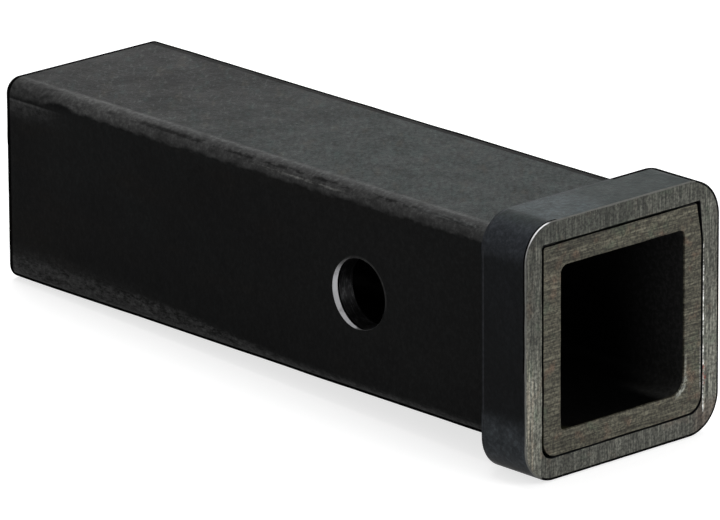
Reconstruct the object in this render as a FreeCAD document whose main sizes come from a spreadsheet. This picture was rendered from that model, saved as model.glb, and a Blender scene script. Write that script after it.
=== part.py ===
import FreeCAD, Part
import math
import os
import Sketcher

# Weld-on receiver tube of the 1-1/4 inch class: a square tube with a cross pin hole, and a collar
# sliced from a larger square tube, welded on flush with the mouth.
#
# Frame, in millimetres: the tube runs along Y with its mouth facing -Y, +Z is up, and the pin
# hole runs along X. The origin is where the pin hole's axis crosses the tube's axis.

# alias, value, what it is
SIZES = [
    ("tube_width", 41.3, "outer width and height of the square tube"),
    ("tube_wall", 4.6, "wall of the tube"),
    ("tube_corner", 3.2, "outer corner radius of the tube"),
    ("tube_inner_corner", 1.4, "corner radius inside the tube"),
    ("tube_length", 152.4, "mouth to back end"),
    ("tube_edge_break", 0.3, "deburring chamfer at both sawn ends of the tube"),
    ("pin_hole_bore", 14.0, "diameter of the cross hole for the hitch pin"),
    ("pin_hole_setback", 50.0, "mouth to the pin hole's axis"),
    ("pin_hole_break", 0.6, "chamfer round the pin hole on both outer faces"),
    ("collar_gap", 0.25, "gap between tube and collar on each side"),
    ("collar_wall", 4.3, "wall of the collar"),
    ("collar_corner", 7.2, "outer corner radius of the collar"),
    ("collar_inner_corner", 2.4, "corner radius inside the collar"),
    ("collar_width", 12.0, "length of the collar along the tube"),
    ("collar_edge_break", 0.4, "deburring chamfer on the collar's outer edges"),
    ("collar_inner_break", 0.2, "deburring chamfer on the collar's front inner edge"),
    ("bead_leg", 3.5, "leg of the fillet weld on the tube and on the collar"),
    ("bead_crown", 0.45, "rise of the weld's face above a flat fillet"),
    ("bead_pitch", 2.0, "spacing of the weld's ripples"),
    ("bead_ripple", 0.4, "how much a ripple's leg falls from its start to its end"),
    ("bead_penetration", 0.5, "depth to which the weld's root is made before the tube trims it"),
]

TOLERANCE = 1e-5


def make_sheet(doc):
    """The driving dimensions, one row each: name, value with its alias, description."""
    sheet = doc.addObject("Spreadsheet::Sheet", "sizes")
    for row, (alias, value, words) in enumerate(SIZES, start=1):
        sheet.set(f"A{row}", alias)
        sheet.set(f"B{row}", str(value))
        sheet.setAlias(f"B{row}", alias)
        sheet.set(f"C{row}", words)
    doc.recompute()
    return sheet


def make_body(doc, name):
    body = doc.addObject("PartDesign::Body", name)
    body.Label = name
    return body


def origin_plane(body, role):
    return next(item for item in body.Origin.OriginFeatures if item.Role == role)


def make_sketch(body, name, role):
    sketch = body.newObject("Sketcher::SketchObject", name)
    sketch.AttachmentSupport = [(origin_plane(body, role), "")]
    sketch.MapMode = "FlatFace"
    return sketch


def bind_constraint(sketch, constraint, name, expression):
    """Adds a dimension, names it and ties it to the sheet."""
    index = sketch.addConstraint(constraint)
    sketch.renameConstraint(index, name)
    sketch.setExpression(f"Constraints.{name}", expression)


def add_rounded_square(sketch, name, width, radius, width_expression, radius_expression):
    """A square with round corners, centred on the sketch's origin and fully constrained."""
    first = sketch.GeometryCount
    half, flat = width / 2, width / 2 - radius
    for quarter in range(4):
        turn = FreeCAD.Rotation(FreeCAD.Vector(0, 0, 1), 90 * quarter)
        start = turn.multVec(FreeCAD.Vector(-flat, -half, 0))
        end = turn.multVec(FreeCAD.Vector(flat, -half, 0))
        centre = turn.multVec(FreeCAD.Vector(flat, -flat, 0))
        sketch.addGeometry(Part.LineSegment(start, end))
        circle = Part.Circle(centre, FreeCAD.Vector(0, 0, 1), radius)
        begin = math.radians(90 * (quarter - 1))
        sketch.addGeometry(Part.ArcOfCircle(circle, begin, begin + math.pi / 2))
    sides = [first + 2 * quarter for quarter in range(4)]
    corners = [side + 1 for side in sides]
    for quarter in range(4):
        side, corner, following = sides[quarter], corners[quarter], sides[(quarter + 1) % 4]
        sketch.addConstraint(Sketcher.Constraint("Tangent", side, 2, corner, 1))
        sketch.addConstraint(Sketcher.Constraint("Tangent", corner, 2, following, 1))
        direction = "Horizontal" if quarter % 2 == 0 else "Vertical"
        sketch.addConstraint(Sketcher.Constraint(direction, side))
    for corner in corners[1:]:
        sketch.addConstraint(Sketcher.Constraint("Equal", corners[0], corner))
    sketch.addConstraint(Sketcher.Constraint("Equal", sides[0], sides[1]))
    sketch.addConstraint(Sketcher.Constraint("Symmetric", sides[0], 1, sides[2], 1, -1, 1))
    across = Sketcher.Constraint("DistanceX", sides[3], 1, sides[1], 1, width)
    bind_constraint(sketch, across, f"{name}_width", width_expression)
    rounding = Sketcher.Constraint("Radius", corners[0], radius)
    bind_constraint(sketch, rounding, f"{name}_radius", radius_expression)


def pad_from_mouth(body, sketch, name, length_expression):
    """Moves a section to the mouth and pads it towards the back end, along +Y."""
    sketch.setExpression("AttachmentOffset.Base.z", "sizes.pin_hole_setback")
    pad = body.newObject("PartDesign::Pad", name)
    pad.Profile = sketch
    pad.setExpression("Length", length_expression)
    pad.Reversed = True
    body.Document.recompute()
    return pad


def edges_where(feature, test):
    """Names of a feature's edges whose every end and middle point passes the test."""
    names = []
    for number, edge in enumerate(feature.Shape.Edges, start=1):
        middle = edge.valueAt((edge.FirstParameter + edge.LastParameter) / 2)
        points = [vertex.Point for vertex in edge.Vertexes] + [middle]
        if all(test(point) for point in points):
            names.append(f"Edge{number}")
    return names


def chamfer_edges(body, name, base, edge_names, size_expression):
    chamfer = body.newObject("PartDesign::Chamfer", name)
    chamfer.Base = (base, edge_names)
    chamfer.setExpression("Size", size_expression)
    body.Document.recompute()
    return chamfer


def reach(point):
    """Distance of a point from the tube's axis, measured square to the sides."""
    return max(abs(point.x), abs(point.z))


def at(value, target):
    return abs(value - target) < TOLERANCE


def make_receiver_tube(doc, sheet):
    """Square tube, sawn and deburred at both ends, cross-drilled for the pin."""
    body = make_body(doc, "receiver_tube")
    inside = sheet.tube_width - 2 * sheet.tube_wall
    section = make_sketch(body, "tube_section", "XZ_Plane")
    add_rounded_square(section, "outside", sheet.tube_width, sheet.tube_corner,
                       "sizes.tube_width", "sizes.tube_corner")
    add_rounded_square(section, "inside", inside, sheet.tube_inner_corner,
                       "sizes.tube_width - 2 * sizes.tube_wall", "sizes.tube_inner_corner")
    pad = pad_from_mouth(body, section, "tube_pad", "sizes.tube_length")

    mouth, back = -sheet.pin_hole_setback, sheet.tube_length - sheet.pin_hole_setback
    ends = edges_where(pad, lambda point: at(point.y, mouth) or at(point.y, back))
    deburred = chamfer_edges(body, "tube_ends_deburred", pad, ends, "sizes.tube_edge_break")

    circle = make_sketch(body, "pin_hole_circle", "YZ_Plane")
    circle.addGeometry(Part.Circle(FreeCAD.Vector(), FreeCAD.Vector(0, 0, 1), sheet.pin_hole_bore / 2))
    circle.addConstraint(Sketcher.Constraint("Coincident", 0, 3, -1, 1))
    bore = Sketcher.Constraint("Diameter", 0, sheet.pin_hole_bore)
    bind_constraint(circle, bore, "bore", "sizes.pin_hole_bore")
    doc.recompute()
    drilled = body.newObject("PartDesign::Pocket", "pin_hole")
    drilled.Profile = circle
    drilled.Midplane = True
    drilled.setExpression("Length", "sizes.tube_width * 2")
    doc.recompute()
    check_removed(deburred, drilled, 2 * sheet.tube_wall * math.pi * (sheet.pin_hole_bore / 2) ** 2)

    side = sheet.tube_width / 2
    rims = edges_where(drilled, lambda point: at(abs(point.x), side)
                       and math.hypot(point.y, point.z) < sheet.pin_hole_bore / 2 + TOLERANCE)
    chamfer_edges(body, "pin_hole_deburred", drilled, rims, "sizes.pin_hole_break")
    return body


def check_removed(before, after, expected):
    """A pocket that points away from its solid cuts nothing, so the volumes are compared."""
    removed = before.Shape.Volume - after.Shape.Volume
    if abs(removed - expected) > 0.001 * expected:
        raise RuntimeError(f"{after.Name} removed {removed:.1f} mm3, not {expected:.1f} mm3")


def make_collar(doc, sheet):
    """Ring sliced from a larger square tube, flush with the mouth, a thin gap off the tube."""
    body = make_body(doc, "collar")
    inside = sheet.tube_width + 2 * sheet.collar_gap
    outside = inside + 2 * sheet.collar_wall
    section = make_sketch(body, "collar_section", "XZ_Plane")
    add_rounded_square(section, "outside", outside, sheet.collar_corner,
                       "sizes.tube_width + 2 * sizes.collar_gap + 2 * sizes.collar_wall",
                       "sizes.collar_corner")
    add_rounded_square(section, "inside", inside, sheet.collar_inner_corner,
                       "sizes.tube_width + 2 * sizes.collar_gap", "sizes.collar_inner_corner")
    pad = pad_from_mouth(body, section, "collar_pad", "sizes.collar_width")

    front = -sheet.pin_hole_setback
    rear = front + sheet.collar_width
    split = inside / 2 + TOLERANCE
    outer = edges_where(pad, lambda point: reach(point) > split
                        and (at(point.y, front) or at(point.y, rear)))
    broken = chamfer_edges(body, "collar_outer_edges", pad, outer, "sizes.collar_edge_break")
    inner = edges_where(broken, lambda point: reach(point) < split and at(point.y, front))
    chamfer_edges(body, "collar_inner_edge", broken, inner, "sizes.collar_inner_break")
    return body


def bead_stations(side, radius, pitch):
    """Places round the tube where a ripple starts or ends: position and outward direction.

    The bead goes once round the tube's outline: four straight sides of whole ripples, and whole
    ripples again round each corner.
    """
    flat = side / 2 - radius
    per_side = max(2, round(2 * flat / pitch))
    per_corner = max(3, round((radius + pitch) * math.pi / 2 / pitch))
    stations = []
    for quarter in range(4):
        turn = FreeCAD.Rotation(FreeCAD.Vector(0, 1, 0), -90 * quarter)
        for step in range(per_side):
            along = -flat + 2 * flat * step / per_side
            place = FreeCAD.Vector(along, 0, -side / 2)
            stations.append((turn.multVec(place), turn.multVec(FreeCAD.Vector(0, 0, -1))))
        for step in range(per_corner):
            angle = math.pi / 2 * step / per_corner
            outward = FreeCAD.Vector(math.sin(angle), 0, -math.cos(angle))
            place = FreeCAD.Vector(flat, 0, -flat) + outward * radius
            stations.append((turn.multVec(place), turn.multVec(outward)))
    return stations


def bead_section(place, outward, leg, crown, root):
    """Outline of the fillet weld: two legs square to each other and a slightly crowned face."""
    back = FreeCAD.Vector(0, 1, 0)
    toe_on_collar = place + outward * leg
    toe_on_tube = place + back * leg
    middle = place + (outward + back) * (leg / 2 + crown / math.sqrt(2))
    sunk_front, sunk_back = place - outward * root, toe_on_tube - outward * root
    face = Part.Arc(toe_on_collar, middle, toe_on_tube).toShape()
    lines = [(toe_on_tube, sunk_back), (sunk_back, sunk_front), (sunk_front, toe_on_collar)]
    return Part.Wire([face] + [Part.LineSegment(*ends).toShape() for ends in lines])


def make_collar_weld(doc, sheet):
    """Fillet weld round the tube behind the collar, laid down as overlapping ripples."""
    seat = sheet.collar_width - sheet.pin_hole_setback
    stations = bead_stations(sheet.tube_width, sheet.tube_corner, sheet.bead_pitch)
    ripples = []
    for number, (place, outward) in enumerate(stations):
        next_place, next_outward = stations[(number + 1) % len(stations)]
        high = bead_section(place, outward, sheet.bead_leg, sheet.bead_crown,
                            sheet.bead_penetration)
        low = bead_section(next_place, next_outward, sheet.bead_leg - sheet.bead_ripple,
                           sheet.bead_crown, sheet.bead_penetration)
        ripples.append(Part.makeLoft([high, low], True, True))
    bead = ripples[0].multiFuse(ripples[1:])
    bead.translate(FreeCAD.Vector(0, seat, 0))

    half = sheet.tube_width / 2
    core = Part.makeBox(2 * half, sheet.tube_length, 2 * half,
                        FreeCAD.Vector(-half, -sheet.pin_hole_setback, -half))
    long_edges = [edge for edge in core.Edges if abs(edge.tangentAt(edge.FirstParameter).y) > 0.5]
    core = core.makeFillet(sheet.tube_corner, long_edges)
    weld = doc.addObject("Part::Feature", "collar_weld")
    weld.Label = "collar_weld"
    weld.Shape = bead.cut(core)
    return weld


def check_document(doc, pieces):
    """Stops if any object failed to compute or any piece isn't one valid solid."""
    for item in doc.Objects:
        if "Invalid" in item.State or "Error" in item.State:
            raise RuntimeError(f"{item.Name} is in state {item.State}")
    for piece in pieces:
        shape = piece.Shape
        if shape.isNull() or not shape.isValid() or len(shape.Solids) != 1:
            raise RuntimeError(f"{piece.Label} isn't one valid solid")


def main():
    doc = FreeCAD.newDocument("receiver_tube")
    sheet = make_sheet(doc)
    pieces = [
        make_receiver_tube(doc, sheet),
        make_collar(doc, sheet),
        make_collar_weld(doc, sheet),
    ]
    doc.recompute()
    check_document(doc, pieces)
    os.makedirs("parts", exist_ok=True)
    for piece in pieces:
        piece.Shape.exportStep(f"parts/{piece.Label}.step")
        print(f"{piece.Label}: {piece.Shape.Volume:.1f} mm3, {len(piece.Shape.Faces)} faces")


main()
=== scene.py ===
import math

import bmesh
import bpy
import numpy as np
from mathutils import Matrix, Vector


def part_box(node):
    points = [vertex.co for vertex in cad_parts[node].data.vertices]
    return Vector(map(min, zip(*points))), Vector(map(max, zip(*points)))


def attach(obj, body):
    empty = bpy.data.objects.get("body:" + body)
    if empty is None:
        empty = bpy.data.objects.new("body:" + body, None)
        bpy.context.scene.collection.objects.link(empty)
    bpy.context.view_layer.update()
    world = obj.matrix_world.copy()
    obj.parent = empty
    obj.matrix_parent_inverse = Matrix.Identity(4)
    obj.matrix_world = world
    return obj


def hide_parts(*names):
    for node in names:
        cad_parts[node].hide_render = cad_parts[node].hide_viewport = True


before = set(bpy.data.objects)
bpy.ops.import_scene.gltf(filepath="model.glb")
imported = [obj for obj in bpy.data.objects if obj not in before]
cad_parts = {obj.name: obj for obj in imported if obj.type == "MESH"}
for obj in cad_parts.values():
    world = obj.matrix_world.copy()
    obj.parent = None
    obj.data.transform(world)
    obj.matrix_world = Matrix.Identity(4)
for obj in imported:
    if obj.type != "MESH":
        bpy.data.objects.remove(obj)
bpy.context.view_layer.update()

# The receiver tube's looks: detailed pieces for the tube, the collar and the weld, their materials,
# the floor, the lamps and the camera. Lengths are in millimetres until a mesh is made.

MM = 0.001

# Sizes that the frame's boxes don't give, in millimetres.
TUBE_WALL = 4.6
TUBE_CORNER = 3.2
TUBE_EDGE_BREAK = 0.3
COLLAR_WALL = 4.3
PIN_HOLE_RADIUS = 6.95
PIN_HOLE_BREAK = 0.64
PIN_HOLE_BREAK_TURN = math.radians(-14.0)
WELD_LEG = 3.3
WELD_PITCH = 2.0

# Corner radii in the order lower right, upper right, upper left, lower left.
TUBE_CORNERS_BODY = (TUBE_CORNER,) * 4
TUBE_CORNERS_MOUTH = (3.4, 0.5, 0.6, 3.2)
TUBE_CORNERS_INSIDE = (3.2, 1.3, 1.5, 1.0)
COLLAR_CORNERS_OUTSIDE = (7.6, 8.0, 6.8, 7.2)
COLLAR_CORNERS_INSIDE = (3.3, 0.5, 0.5, 2.6)
# Behind the mouth, the tube's corners go from the mouth's radii to the body's between these.
MOUTH_CORNERS_START = 0.5
MOUTH_CORNERS_END = 8.0
# How far the upper right corner leans inwards at the mouth.
TUBE_LEAN = 1.3
COLLAR_LEAN = 0.75

# The sides of an outline: the direction along each and its outward direction, in x and z.
SIDES = (((1, 0), (0, -1)), ((0, 1), (1, 0)), ((-1, 0), (0, 1)), ((0, -1), (-1, 0)))
RIGHT_SIDE, LEFT_SIDE = 1, 3

# Half the square round the pin hole, and steps on a side beside it, on it and round a corner.
PATCH_HALF = 11.0
EDGE_STEPS = 11
PATCH_STEPS = 36
CORNER_STEPS = 14
COLLAR_STEPS = {"edge_steps": 20, "corner_steps": 28, "patch_steps": 52}
WELD_STEPS = {"edge_steps": 60, "corner_steps": 36, "patch_steps": 160}
WELD_ARC_STEPS = 14
# Rows along the tube before and after the pin hole, outside and inside, and distances from its ends.
OUTSIDE_ROWS = (27, 68)
INSIDE_ROWS = (22, 36)
END_ROWS = np.array([0.0, 0.35, 0.9, 1.7, 2.8])
TUBE_FACE_STEPS = 10
COLLAR_FACE_STEPS = 11

# Faces that meet at more than this angle, in degrees, have a sharp edge.
SHARP_ANGLE = 32.0
WELD_SHARP_ANGLE = 60.0

# Gloss of the mill scale: on the tube, on the collar and on the strips beside their edges of painted shade.
SCALE_GLOSS = 0.019
COLLAR_GLOSS = 0.028
BORDER_GLOSS = 0.008
SCALE_TINT = (0.93, 1.0, 0.98)


def in_mm(node):
    """A node's box in millimetres."""
    low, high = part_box(node)
    return np.array(low) / MM, np.array(high) / MM


TUBE_LOW, TUBE_HIGH = in_mm("receiver_tube")
COLLAR_LOW, COLLAR_HIGH = in_mm("collar")
TUBE_HALF = TUBE_HIGH[0]
MOUTH = TUBE_LOW[1]
BACK = TUBE_HIGH[1]
COLLAR_HALF = COLLAR_HIGH[0]
COLLAR_BACK = COLLAR_HIGH[1]
COLLAR_INSIDE = COLLAR_HALF - COLLAR_WALL
OPENING_HALF = TUBE_HALF - TUBE_WALL
# Marks at the mouth fade in between these places along the tube.
AT_MOUTH = (MOUTH + 3.0, MOUTH + 1.0)


class Field:
    """A smooth random field in space, between -1 and 1."""

    def __init__(self, seed, size=32):
        self.size = size
        self.values = np.random.default_rng(seed).uniform(-1.0, 1.0, (size, size, size))

    def at(self, points, wavelength):
        """Values at points, with bumps about a wavelength across: one number, or one for each axis."""
        place = np.asarray(points, float) / np.asarray(wavelength, float)
        cell = np.floor(place).astype(int)
        part = place - cell
        part = part * part * (3.0 - 2.0 * part)
        total = np.zeros(len(place))
        for corner in np.ndindex(2, 2, 2):
            weight = np.prod(np.where(corner, part, 1.0 - part), axis=1)
            index = (cell + np.array(corner)) % self.size
            total += weight * self.values[index[:, 0], index[:, 1], index[:, 2]]
        return total

    def along(self, distance, wavelength):
        """The same for places along a line."""
        points = np.zeros((len(distance), 3))
        points[:, 0] = distance
        return self.at(points, wavelength)


def smooth_step(value, low, high):
    """0 below low, 1 above high, smooth between."""
    part = np.clip((np.asarray(value, float) - low) / (high - low), 0.0, 1.0)
    return part * part * (3.0 - 2.0 * part)


def outline(half, radii, edge_steps=EDGE_STEPS, corner_steps=CORNER_STEPS, patch_steps=PATCH_STEPS):
    """Points in x and z round a square with its own radius at each corner, from its lower left."""
    points = []
    for side, (along, outward) in enumerate(SIDES):
        along, outward = np.array(along, float), np.array(outward, float)
        start = -(half - radii[side - 1])
        end = half - radii[side]
        marks = np.concatenate([
            np.linspace(start, -PATCH_HALF, edge_steps, endpoint=False),
            np.linspace(-PATCH_HALF, PATCH_HALF, patch_steps, endpoint=False),
            np.linspace(PATCH_HALF, end, edge_steps, endpoint=False),
        ])
        points.append(marks[:, None] * along + half * outward)
        turn = np.linspace(0.0, math.pi / 2, corner_steps, endpoint=False)[:, None]
        centre = end * along + (half - radii[side]) * outward
        points.append(centre + radii[side] * (np.cos(turn) * outward + np.sin(turn) * along))
    return np.concatenate(points)


def outline_inset(half, radii, inset, **steps):
    """An outline moved inwards by inset, which may differ from point to point."""
    base = outline(half, radii, **steps)
    shift = outline(half - 1.0, [max(radius - 1.0, 0.01) for radius in radii], **steps) - base
    return base + shift * np.asarray(inset)[:, None]


def patch_start(side):
    """Where the steps of the square round the pin hole start on a side of the tube's outline."""
    return side * (2 * EDGE_STEPS + PATCH_STEPS + CORNER_STEPS) + EDGE_STEPS


def leaned(section, amount):
    """A section in x and z with its upper right corner moved inwards by amount."""
    moved = section.copy()
    upper = smooth_step(section[:, 1], 12.0, 22.0)
    moved[:, 0] -= amount * upper * smooth_step(section[:, 0], 14.0, 19.5)
    return moved


def ring(section, y):
    """A section's points at a place along the tube, one place or one for each point."""
    return np.column_stack([section[:, 0], np.broadcast_to(y, len(section)), section[:, 1]])


def placed(name, data):
    """A new object in the scene."""
    thing = bpy.data.objects.new(name, data)
    bpy.context.scene.collection.objects.link(thing)
    return thing


class Surface:
    """Collects vertices and faces, each face with the name of its material."""

    def __init__(self):
        self.points = []
        self.count = 0
        self.faces = []
        self.kinds = []

    def add(self, points):
        """Adds vertices and returns their numbers."""
        numbers = np.arange(self.count, self.count + len(points))
        self.points.append(np.asarray(points, float))
        self.count += len(points)
        return numbers

    def join(self, first, second, kind, skip=()):
        """Faces between two closed loops of vertices, apart from those at the places in skip."""
        size = len(first)
        for place in range(size):
            if place in skip:
                continue
            following = (place + 1) % size
            self.faces.append((first[place], first[following], second[following], second[place]))
            self.kinds.append(kind)

    def join_all(self, loops, kind):
        """Faces between each loop and the next."""
        for first, second in zip(loops, loops[1:]):
            self.join(first, second, kind)

    def all_points(self):
        return np.concatenate(self.points)

    def all_normals(self, points):
        """Vertex normals of the surface with its vertices at points."""
        faces = np.array(self.faces)
        corner = [points[faces[:, number]] for number in range(4)]
        face_normals = np.cross(corner[2] - corner[0], corner[3] - corner[1])
        normals = np.zeros_like(points)
        for number in range(4):
            np.add.at(normals, faces[:, number], face_normals)
        return normals / np.maximum(np.linalg.norm(normals, axis=1, keepdims=True), 1e-12)

    def rename(self, kind, new_kind, test):
        """Gives the faces of one kind whose centres pass the test another material."""
        points = self.all_points()
        for number, face in enumerate(self.faces):
            if self.kinds[number] == kind and test(*points[list(face)].mean(axis=0)):
                self.kinds[number] = new_kind

    def make(self, name, points, materials, sharp_angle=SHARP_ANGLE):
        """The object, with points in millimetres and a material for each kind of face."""
        mesh = bpy.data.meshes.new(name)
        faces = [tuple(int(number) for number in face) for face in self.faces]
        mesh.from_pydata((points * MM).tolist(), [], faces)
        slots = sorted(set(self.kinds))
        for kind in slots:
            mesh.materials.append(materials[kind])
        mesh.polygons.foreach_set("material_index", [slots.index(kind) for kind in self.kinds])
        shape = bmesh.new()
        shape.from_mesh(mesh)
        bmesh.ops.recalc_face_normals(shape, faces=shape.faces)
        shape.to_mesh(mesh)
        shape.free()
        mesh.shade_smooth()
        mesh.set_sharp_from_angle(angle=math.radians(sharp_angle))
        mesh.update()
        return placed(name, mesh)


# Materials


def grey(value):
    """An even grey."""
    return (value,) * 3


class Builder:
    """Adds nodes to the node tree of a material or of the world."""

    def __init__(self, owner):
        owner.use_nodes = True
        self.tree = owner.node_tree

    def put(self, socket, value):
        """Links a socket, or sets its value."""
        if isinstance(value, bpy.types.NodeSocket):
            self.tree.links.new(value, socket)
        elif isinstance(value, tuple) and len(value) == 3 and len(socket.default_value) == 4:
            socket.default_value = (*value, 1.0)
        else:
            socket.default_value = value

    def put_all(self, node_name, **values):
        """Puts values on the inputs of a node, with underscores for the spaces in their names."""
        for name, value in values.items():
            self.put(self.tree.nodes[node_name].inputs[name.replace("_", " ")], value)

    def add(self, kind, **inputs):
        """A new node with its inputs."""
        node = self.tree.nodes.new("ShaderNode" + kind)
        self.put_all(node.name, **inputs)
        return node

    def operate(self, kind, operation, *values):
        """The result of an operation on values."""
        node = self.add(kind)
        node.operation = operation
        for socket, value in zip(node.inputs, values):
            self.put(socket, value)
        return node.outputs[0]

    def math(self, operation, *values):
        return self.operate("Math", operation, *values)

    def fold(self, operation, values):
        """The values joined by an operation, from the first to the last."""
        total = values[0]
        for value in values[1:]:
            total = self.math(operation, total, value)
        return total

    def times(self, *values):
        return self.fold("MULTIPLY", values)

    def plus(self, *values):
        return self.fold("ADD", values)

    def minus(self, first, second):
        return self.math("SUBTRACT", first, second)

    def distance(self, first, second):
        """The distance from the origin, from two coordinates."""
        return self.math("SQRT", self.plus(self.times(first, first), self.times(second, second)))

    def span(self, value, low, high, to_low=0.0, to_high=1.0):
        """Maps low..high smoothly onto to_low..to_high."""
        node = self.add("MapRange", Value=value, From_Min=low, From_Max=high, To_Min=to_low, To_Max=to_high)
        node.interpolation_type = "SMOOTHSTEP"
        return node.outputs["Result"]

    def zone(self, *parts):
        """A mask: the product of its parts, each one a value, or a tuple of what span takes."""
        return self.times(*[self.span(*part) if isinstance(part, tuple) else part for part in parts])

    def near(self, value, centre, half, soft):
        """1 within half of centre, falling to 0 over soft."""
        offset = self.math("ABSOLUTE", self.minus(value, centre))
        return self.span(offset, half, half + soft, 1.0, 0.0)

    def mix(self, factor, first, second, blend="MIX"):
        """A colour between two others."""
        node = self.add("Mix")
        node.data_type = "RGBA"
        node.blend_type = blend
        for number, value in ((0, factor), (6, first), (7, second)):
            self.put(node.inputs[number], value)
        return node.outputs[2]

    def marked(self, colour, *marks):
        """A colour with marks over it, the later over the earlier: each a colour and a zone's parts."""
        for mark, *parts in marks:
            colour = self.mix(self.zone(*parts), colour, mark)
        return colour

    def shaded(self, colour, level):
        """A colour times a grey level."""
        levels = self.add("CombineXYZ", X=level, Y=level, Z=level).outputs[0]
        return self.mix(1.0, colour, levels, "MULTIPLY")


class Nodes(Builder):
    """Builds a new material's node tree. Lengths in it are in millimetres."""

    def __init__(self, name):
        self.material = bpy.data.materials.new(name)
        super().__init__(self.material)
        place = self.add("TexCoord").outputs["Object"]
        self.place = self.operate("VectorMath", "MULTIPLY", place, (1 / MM,) * 3)
        self.x, self.y, self.z = self.add("SeparateXYZ", Vector=self.place).outputs

    def noise_at(self, vector, detail, roughness):
        node = self.add("TexNoise", Scale=1.0, Detail=detail, Roughness=roughness, Vector=vector)
        return node.outputs["Fac"]

    def noise(self, size, shift=0.0, detail=3.0, roughness=0.55):
        """Soft noise between 0 and 1. Its bumps are size across: one number, or one for each axis."""
        sizes = size if isinstance(size, tuple) else (size,) * 3
        factors = tuple(1.0 / value for value in sizes)
        vector = self.operate("VectorMath", "MULTIPLY_ADD", self.place, factors, (shift, shift * 1.7, -shift))
        return self.noise_at(vector, detail, roughness)

    def slanted_noise(self, size, long, shift, detail, roughness):
        """The same, with its bumps long along the horizontal diagonal of x and y."""
        along = self.times(self.plus(self.x, self.y), math.sqrt(0.5) / long)
        across = self.times(self.minus(self.y, self.x), math.sqrt(0.5) / size)
        vector = self.add("CombineXYZ", X=self.plus(along, shift), Y=across, Z=self.times(self.z, 1.0 / size))
        return self.noise_at(vector.outputs[0], detail, roughness)

    def bump(self, height, strength, distance):
        """A normal from a height between 0 and 1. distance is in millimetres."""
        node = self.add("Bump", Strength=strength, Distance=distance * MM, Height=height)
        return node.outputs["Normal"]

    def set(self, **values):
        """Sets the shader's inputs and returns the material."""
        self.put_all("Principled BSDF", **values)
        return self.material


def mill_scale(name, dark, light, warm, marks, gloss):
    """Black mill scale: mottled, finely pitted, with light dusty grains and its own marks, some of them
    painted light.
    """
    nodes = Nodes(name)
    cloud = nodes.noise(22.0, 3.1, detail=4.0)
    streak = nodes.noise((6.0, 26.0, 6.0), 11.0)
    fine = nodes.noise(0.9, 5.3, detail=4.0, roughness=0.7)
    drawn = nodes.noise((0.8, 5.0, 0.8), 8.8, detail=4.0, roughness=0.65)
    mottle = nodes.slanted_noise(1.5, 4.5, 6.2, 4.0, 0.65)
    colour = nodes.marked(dark, (light, (cloud, 0.38, 0.66)), (warm, (streak, 0.5, 0.75, 0.0, 0.55)))
    if marks:
        colour = nodes.marked(colour, *marks(nodes))
    shade = nodes.shaded(colour, nodes.span(fine, 0.4, 0.7, 0.75, 1.4))
    rough = nodes.span(nodes.noise(5.0, 7.7, detail=4.0), 0.3, 0.7, 0.37, 0.45)
    height = nodes.plus(nodes.times(fine, 0.7), nodes.times(nodes.noise(3.2, 1.9, detail=4.0), 0.7),
                        nodes.times(drawn, 0.35), nodes.times(mottle, 1.3))
    return nodes.set(Base_Color=shade, Roughness=rough, Metallic=0.0, Specular_IOR_Level=gloss,
                     Specular_Tint=SCALE_TINT, Normal=nodes.bump(height, 0.9, 0.07))


def corner_zone(nodes, half, radius):
    """1 on a square tube's four rounded long edges, 0 on its flat sides."""
    least = nodes.math("MINIMUM", nodes.math("ABSOLUTE", nodes.x), nodes.math("ABSOLUTE", nodes.z))
    return nodes.span(least, half - radius - 0.6, half - radius + 0.9)


def tone_marks(nodes, ragged):
    """Paler rounded edges on the right, the heat tint beside the weld, and the left side's dark front."""
    x, y = nodes.x, nodes.y
    heated = nodes.minus(nodes.plus(y, nodes.times(ragged, 1.6)), nodes.span(x, -18.0, -10.0, 0.0, 2.5))
    toe = COLLAR_BACK + WELD_LEG
    tint = nodes.mix(nodes.span(heated, toe + 0.8, toe + 1.6), (0.02, 0.016, 0.012), (0.012, 0.015, 0.024))
    corner = corner_zone(nodes, TUBE_HALF, TUBE_CORNER)
    return (
        (grey(0.018), corner, (x, -10.0, 10.0), (ragged, 0.48, 0.62, 0.0, 0.6), 0.8),
        (tint, (heated, toe + 2.2, toe + 1.0), 0.7),
        ((0.0075, 0.0076, 0.0076), (x, -19.0, -20.3), (y, 50.0, -10.0), 0.6),
    )


def top_dust_and_painted_light(nodes):
    """Dust and painted light on the top, thinner towards the back end, with teal and brown spots, pits and
    pale grains.
    """
    top = nodes.span(nodes.z, 20.0, 20.5)
    spots = nodes.slanted_noise(2.6, 8.0, 14.3, 4.0, 0.65)
    stains = nodes.slanted_noise(3.4, 10.0, 27.9, 4.0, 0.65)
    grit = nodes.slanted_noise(0.8, 2.6, 33.1, 5.0, 0.75)
    return (
        # Dust, and also painted light: it makes the top much lighter than the black sides.
        ((0.0165, 0.0225, 0.0215), top, (nodes.y, 84.0, 8.0), (spots, 0.25, 0.6, 0.65, 1.0), 0.9),
        ((0.013, 0.026, 0.024), top, (spots, 0.54, 0.66), 0.4),
        ((0.023, 0.02, 0.014), top, (stains, 0.54, 0.66), 0.5),
        ((0.0045, 0.005, 0.005), top, (grit, 0.5, 0.4), 0.8),
        ((0.034, 0.04, 0.038), top, (grit, 0.54, 0.64), 0.6),
    )


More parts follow.
